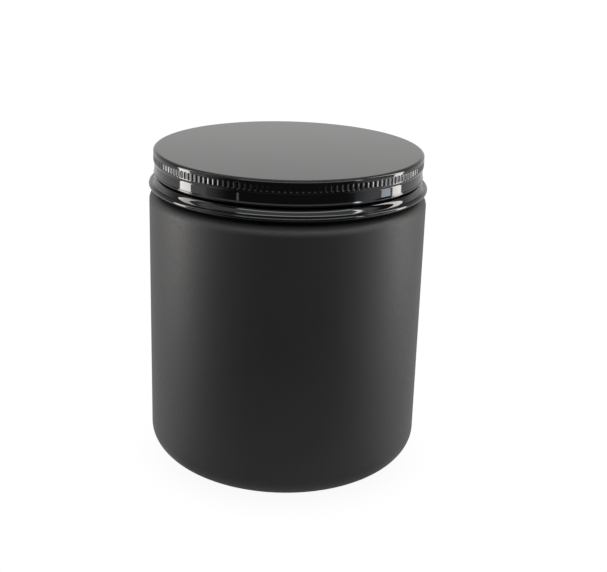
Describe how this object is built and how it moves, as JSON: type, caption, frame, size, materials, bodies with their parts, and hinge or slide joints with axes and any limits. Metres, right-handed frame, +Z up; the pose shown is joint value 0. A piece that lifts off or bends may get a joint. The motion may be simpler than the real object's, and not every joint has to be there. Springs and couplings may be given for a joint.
{
  "type": "screw-lid candle tin",
  "caption": "Round matte black candle tin with a gloss threaded collar and a knurled screw lid that unscrews and lifts off.",
  "frame": {"origin": "middle of the standing ring, on the surface that the tin stands on", "axes": "+Z up along the tin's own axis, which is also the axis of the thread; the tin is round, so +X and +Y are free"},
  "size_m": [0.0882, 0.0882, 0.1043],
  "materials": {
    "vessel_coat": "fine-textured matte black powder coat",
    "seal_compound": "soft grey sealing compound",
    "collar_lacquer": "gloss black lacquer on pressed sheet",
    "lid_lacquer": "gloss black lacquer, satin on the top face",
    "insert_plastic": "moulded black polypropylene",
    "liner_foam": "white foamed polyethylene sheet"
  },
  "bodies": {
    "tin": {"vessel": "vessel_coat", "neck_seal": "seal_compound", "threaded_collar": "collar_lacquer"},
    "liner": {"lid_liner": "liner_foam"},
    "lid": {"lid_shell": "lid_lacquer", "lid_thread_insert": "insert_plastic"}
  },
  "joints": [
    {"name": "lid_lift", "type": "slide", "parent": "tin", "child": "liner", "axis": [0, 0, 1], "range_m": [0, 0.015]},
    {"name": "lid_turn", "type": "hinge", "parent": "liner", "child": "lid", "pos_m": [0, 0, 0.1], "axis": [0, 0, 1], "range_deg": [0, 720]}
  ],
  "couplings": [
    {"joint": "lid_lift", "follows": "lid_turn", "m_per_rad": 0.0011936}
  ]
}
